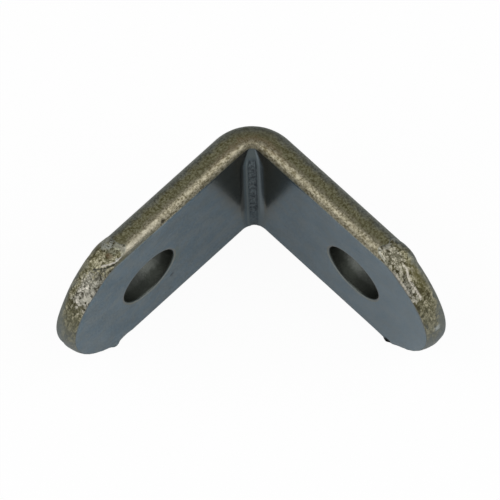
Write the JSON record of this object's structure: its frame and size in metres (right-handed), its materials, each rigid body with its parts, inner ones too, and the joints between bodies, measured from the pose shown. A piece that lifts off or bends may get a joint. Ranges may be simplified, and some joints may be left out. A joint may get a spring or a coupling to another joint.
{
  "type": "angle bracket",
  "caption": "Small right-angle bracket folded from flat steel strip, with a round bolt hole in each round-ended leg.",
  "frame": {"origin": "middle of the X leg's bolt hole, on that leg's outer face", "axes": "+X along one leg from the bend to its round end, +Y along the other leg, +Z across the strip's width, along the bend"},
  "size_m": [0.0282, 0.0278, 0.019],
  "materials": {
    "steel": "bare rolled steel, satin blue-grey faces, tan-grey rolled edges, rough bright sheared ends"
  },
  "bodies": {
    "root": {"bracket": "steel"}
  },
  "joints": []
}
